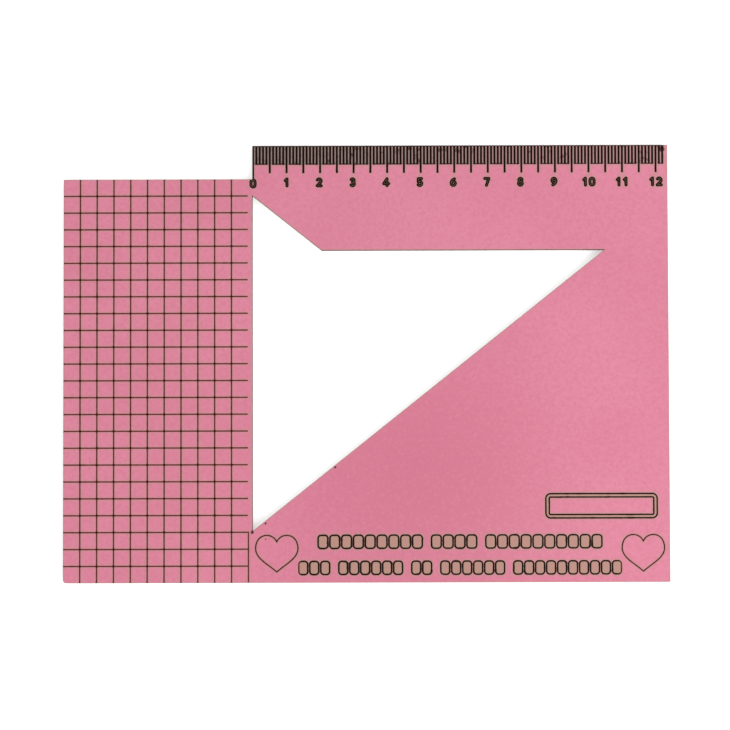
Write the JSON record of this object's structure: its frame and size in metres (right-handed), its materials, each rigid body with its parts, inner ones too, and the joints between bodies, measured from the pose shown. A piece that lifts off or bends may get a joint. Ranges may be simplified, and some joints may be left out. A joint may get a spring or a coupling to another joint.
{
  "type": "corner template board",
  "caption": "Flat laser-cut fibreboard template with a millimetre ruler edge, a squared grid panel and a slant-edged window, for marking and finishing the corners of covered boxes.",
  "frame": {"origin": "middle of the bounding box, on the underside of the board", "axes": "+X along the ruler towards its larger numbers, +Y towards the ruler edge, +Z out of the decorated face"},
  "size_m": [0.18, 0.13, 0.003],
  "materials": {
    "fibreboard": "raw fibreboard, charred where the laser cut or engraved it",
    "pink_film": "matt pink decor film, stained brown by smoke beside the engraving"
  },
  "bodies": {
    "root": {"board_core": "fibreboard", "face_film": "pink_film", "grid_column_1": "pink_film", "grid_column_2": "pink_film", "grid_column_3": "pink_film", "grid_column_4": "pink_film", "grid_column_5": "pink_film", "grid_column_6": "pink_film", "grid_column_7": "pink_film", "grid_column_8": "pink_film", "grid_column_9": "pink_film", "grid_column_10": "pink_film", "grid_column_11": "pink_film", "heart_left": "pink_film", "heart_right": "pink_film", "ruler_numerals": "pink_film", "caption_upper": "pink_film", "caption_lower": "pink_film", "label_border": "pink_film", "label_field": "pink_film"}
  },
  "joints": []
}
